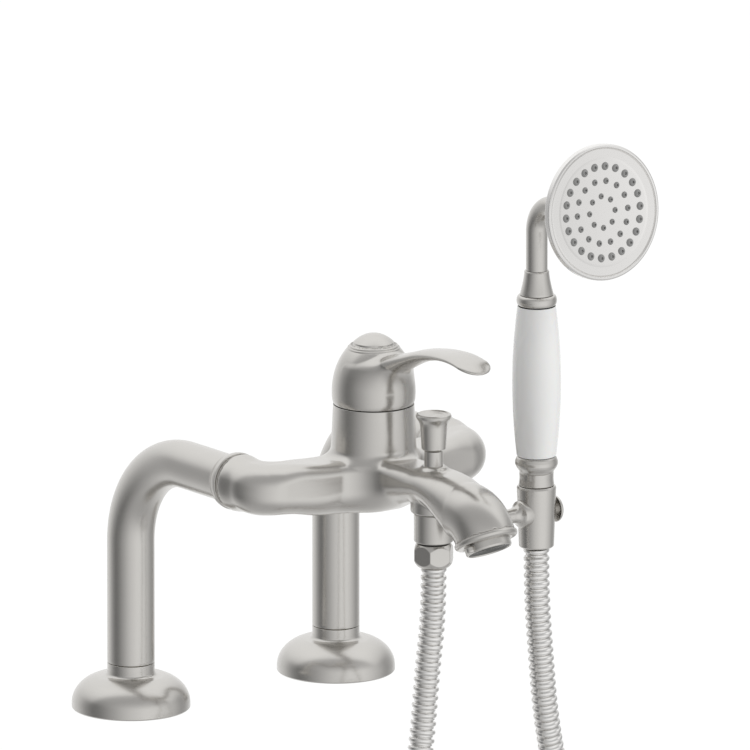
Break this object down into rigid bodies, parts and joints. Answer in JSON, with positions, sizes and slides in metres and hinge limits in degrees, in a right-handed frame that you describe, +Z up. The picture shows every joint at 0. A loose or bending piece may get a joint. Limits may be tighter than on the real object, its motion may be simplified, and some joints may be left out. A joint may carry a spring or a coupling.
{
  "type": "bath mixer",
  "caption": "Deck-mounted bath shower mixer on two bent legs, with a single lever, spout, pull-up diverter, and a hand shower on a ribbed hose in a side cradle.",
  "frame": {"origin": "on the deck, midway between the two inlets", "axes": "+X to the right along the inlets, -Y towards the bather and the spout, +Z up"},
  "size_m": [0.2418, 0.3037, 0.5945],
  "materials": {
    "satin_nickel": "satin brushed nickel plate over brass",
    "polished_hose": "polished nickel, spirally ribbed",
    "glazed_ceramic": "white glazed ceramic",
    "turned_brass": "turned",
    "black_rubber": "moulded",
    "moulded_plastic": "moulded",
    "disc_ceramic": "lapped alumina ceramic",
    "plain_steel": "turned",
    "nozzle_rubber": "moulded silicone rubber",
    "tie_plastic": "plain"
  },
  "bodies": {
    "mixer": {"inlet_nipple_left": "turned_brass", "inlet_nipple_right": "turned_brass", "escutcheon_left": "satin_nickel", "escutcheon_right": "satin_nickel", "leg_left": "satin_nickel", "leg_right": "satin_nickel", "union_collar_left": "satin_nickel", "union_collar_right": "satin_nickel", "inlet_o_rings": "black_rubber", "union_washers": "black_rubber", "body": "satin_nickel", "cartridge_base": "moulded_plastic", "cartridge_seals": "black_rubber", "cartridge_housing": "moulded_plastic", "cartridge_nut": "turned_brass", "fixed_disc": "disc_ceramic", "aerator_washer": "black_rubber", "aerator_insert": "moulded_plastic", "aerator_housing": "satin_nickel", "diverter_bush": "satin_nickel", "outlet_nipple": "turned_brass", "slip_washer": "black_rubber", "cradle_arm": "satin_nickel", "cradle_sleeve": "satin_nickel", "cradle_screw": "satin_nickel", "hose_nut": "satin_nickel", "hose_tail": "turned_brass", "hose_washer": "black_rubber", "hose_supply_run": "polished_hose", "hose_coil": "polished_hose", "coil_tie": "tie_plastic"},
    "cartridge_carrier": {"cartridge_carrier": "moulded_plastic", "pivot_pin": "plain_steel"},
    "moving_disc": {"moving_disc": "disc_ceramic"},
    "lever": {"lever_handle": "satin_nickel", "lever_spindle": "plain_steel", "cap_insert": "satin_nickel", "grub_screw": "plain_steel"},
    "diverter": {"diverter_knob": "satin_nickel", "diverter_spindle": "turned_brass", "diverter_valve": "turned_brass", "diverter_seal": "black_rubber"},
    "hose_end": {"hose_cone": "satin_nickel", "cone_tail": "turned_brass", "cone_washer": "black_rubber", "hose_handset_run": "polished_hose"},
    "handset": {"lower_ferrule": "satin_nickel", "grip": "glazed_ceramic", "grip_tube": "turned_brass", "grip_washers": "black_rubber", "upper_ring": "satin_nickel", "upper_ferrule": "satin_nickel", "neck": "satin_nickel", "rose_shell": "satin_nickel", "rose_face": "satin_nickel", "nozzle_mat": "nozzle_rubber", "rose_gasket": "black_rubber"}
  },
  "joints": [
    {"name": "temperature_turn", "type": "hinge", "parent": "mixer", "child": "cartridge_carrier", "pos_m": [0, -0.139, 0.2], "axis": [0, 0, 1], "range_deg": [-45, 35]},
    {"name": "disc_slide", "type": "slide", "parent": "cartridge_carrier", "child": "moving_disc", "axis": [0, -1, 0], "range_m": [0, 0.0036]},
    {"name": "lever_lift", "type": "hinge", "parent": "cartridge_carrier", "child": "lever", "pos_m": [0, -0.139, 0.208], "axis": [-1, 0, 0], "range_deg": [0, 20]},
    {"name": "diverter_pull", "type": "slide", "parent": "mixer", "child": "diverter", "axis": [0, 0, 1], "range_m": [0, 0.008]},
    {"name": "handset_lift", "type": "slide", "parent": "mixer", "child": "hose_end", "axis": [0, 0, 1], "range_m": [0, 0.035]},
    {"name": "handset_swivel", "type": "hinge", "parent": "hose_end", "child": "handset", "pos_m": [0.075, -0.198, 0.155], "axis": [0, 0, 1], "continuous": true}
  ],
  "couplings": [
    {"joint": "disc_slide", "follows": "lever_lift", "m_per_rad": 0.0103}
  ]
}
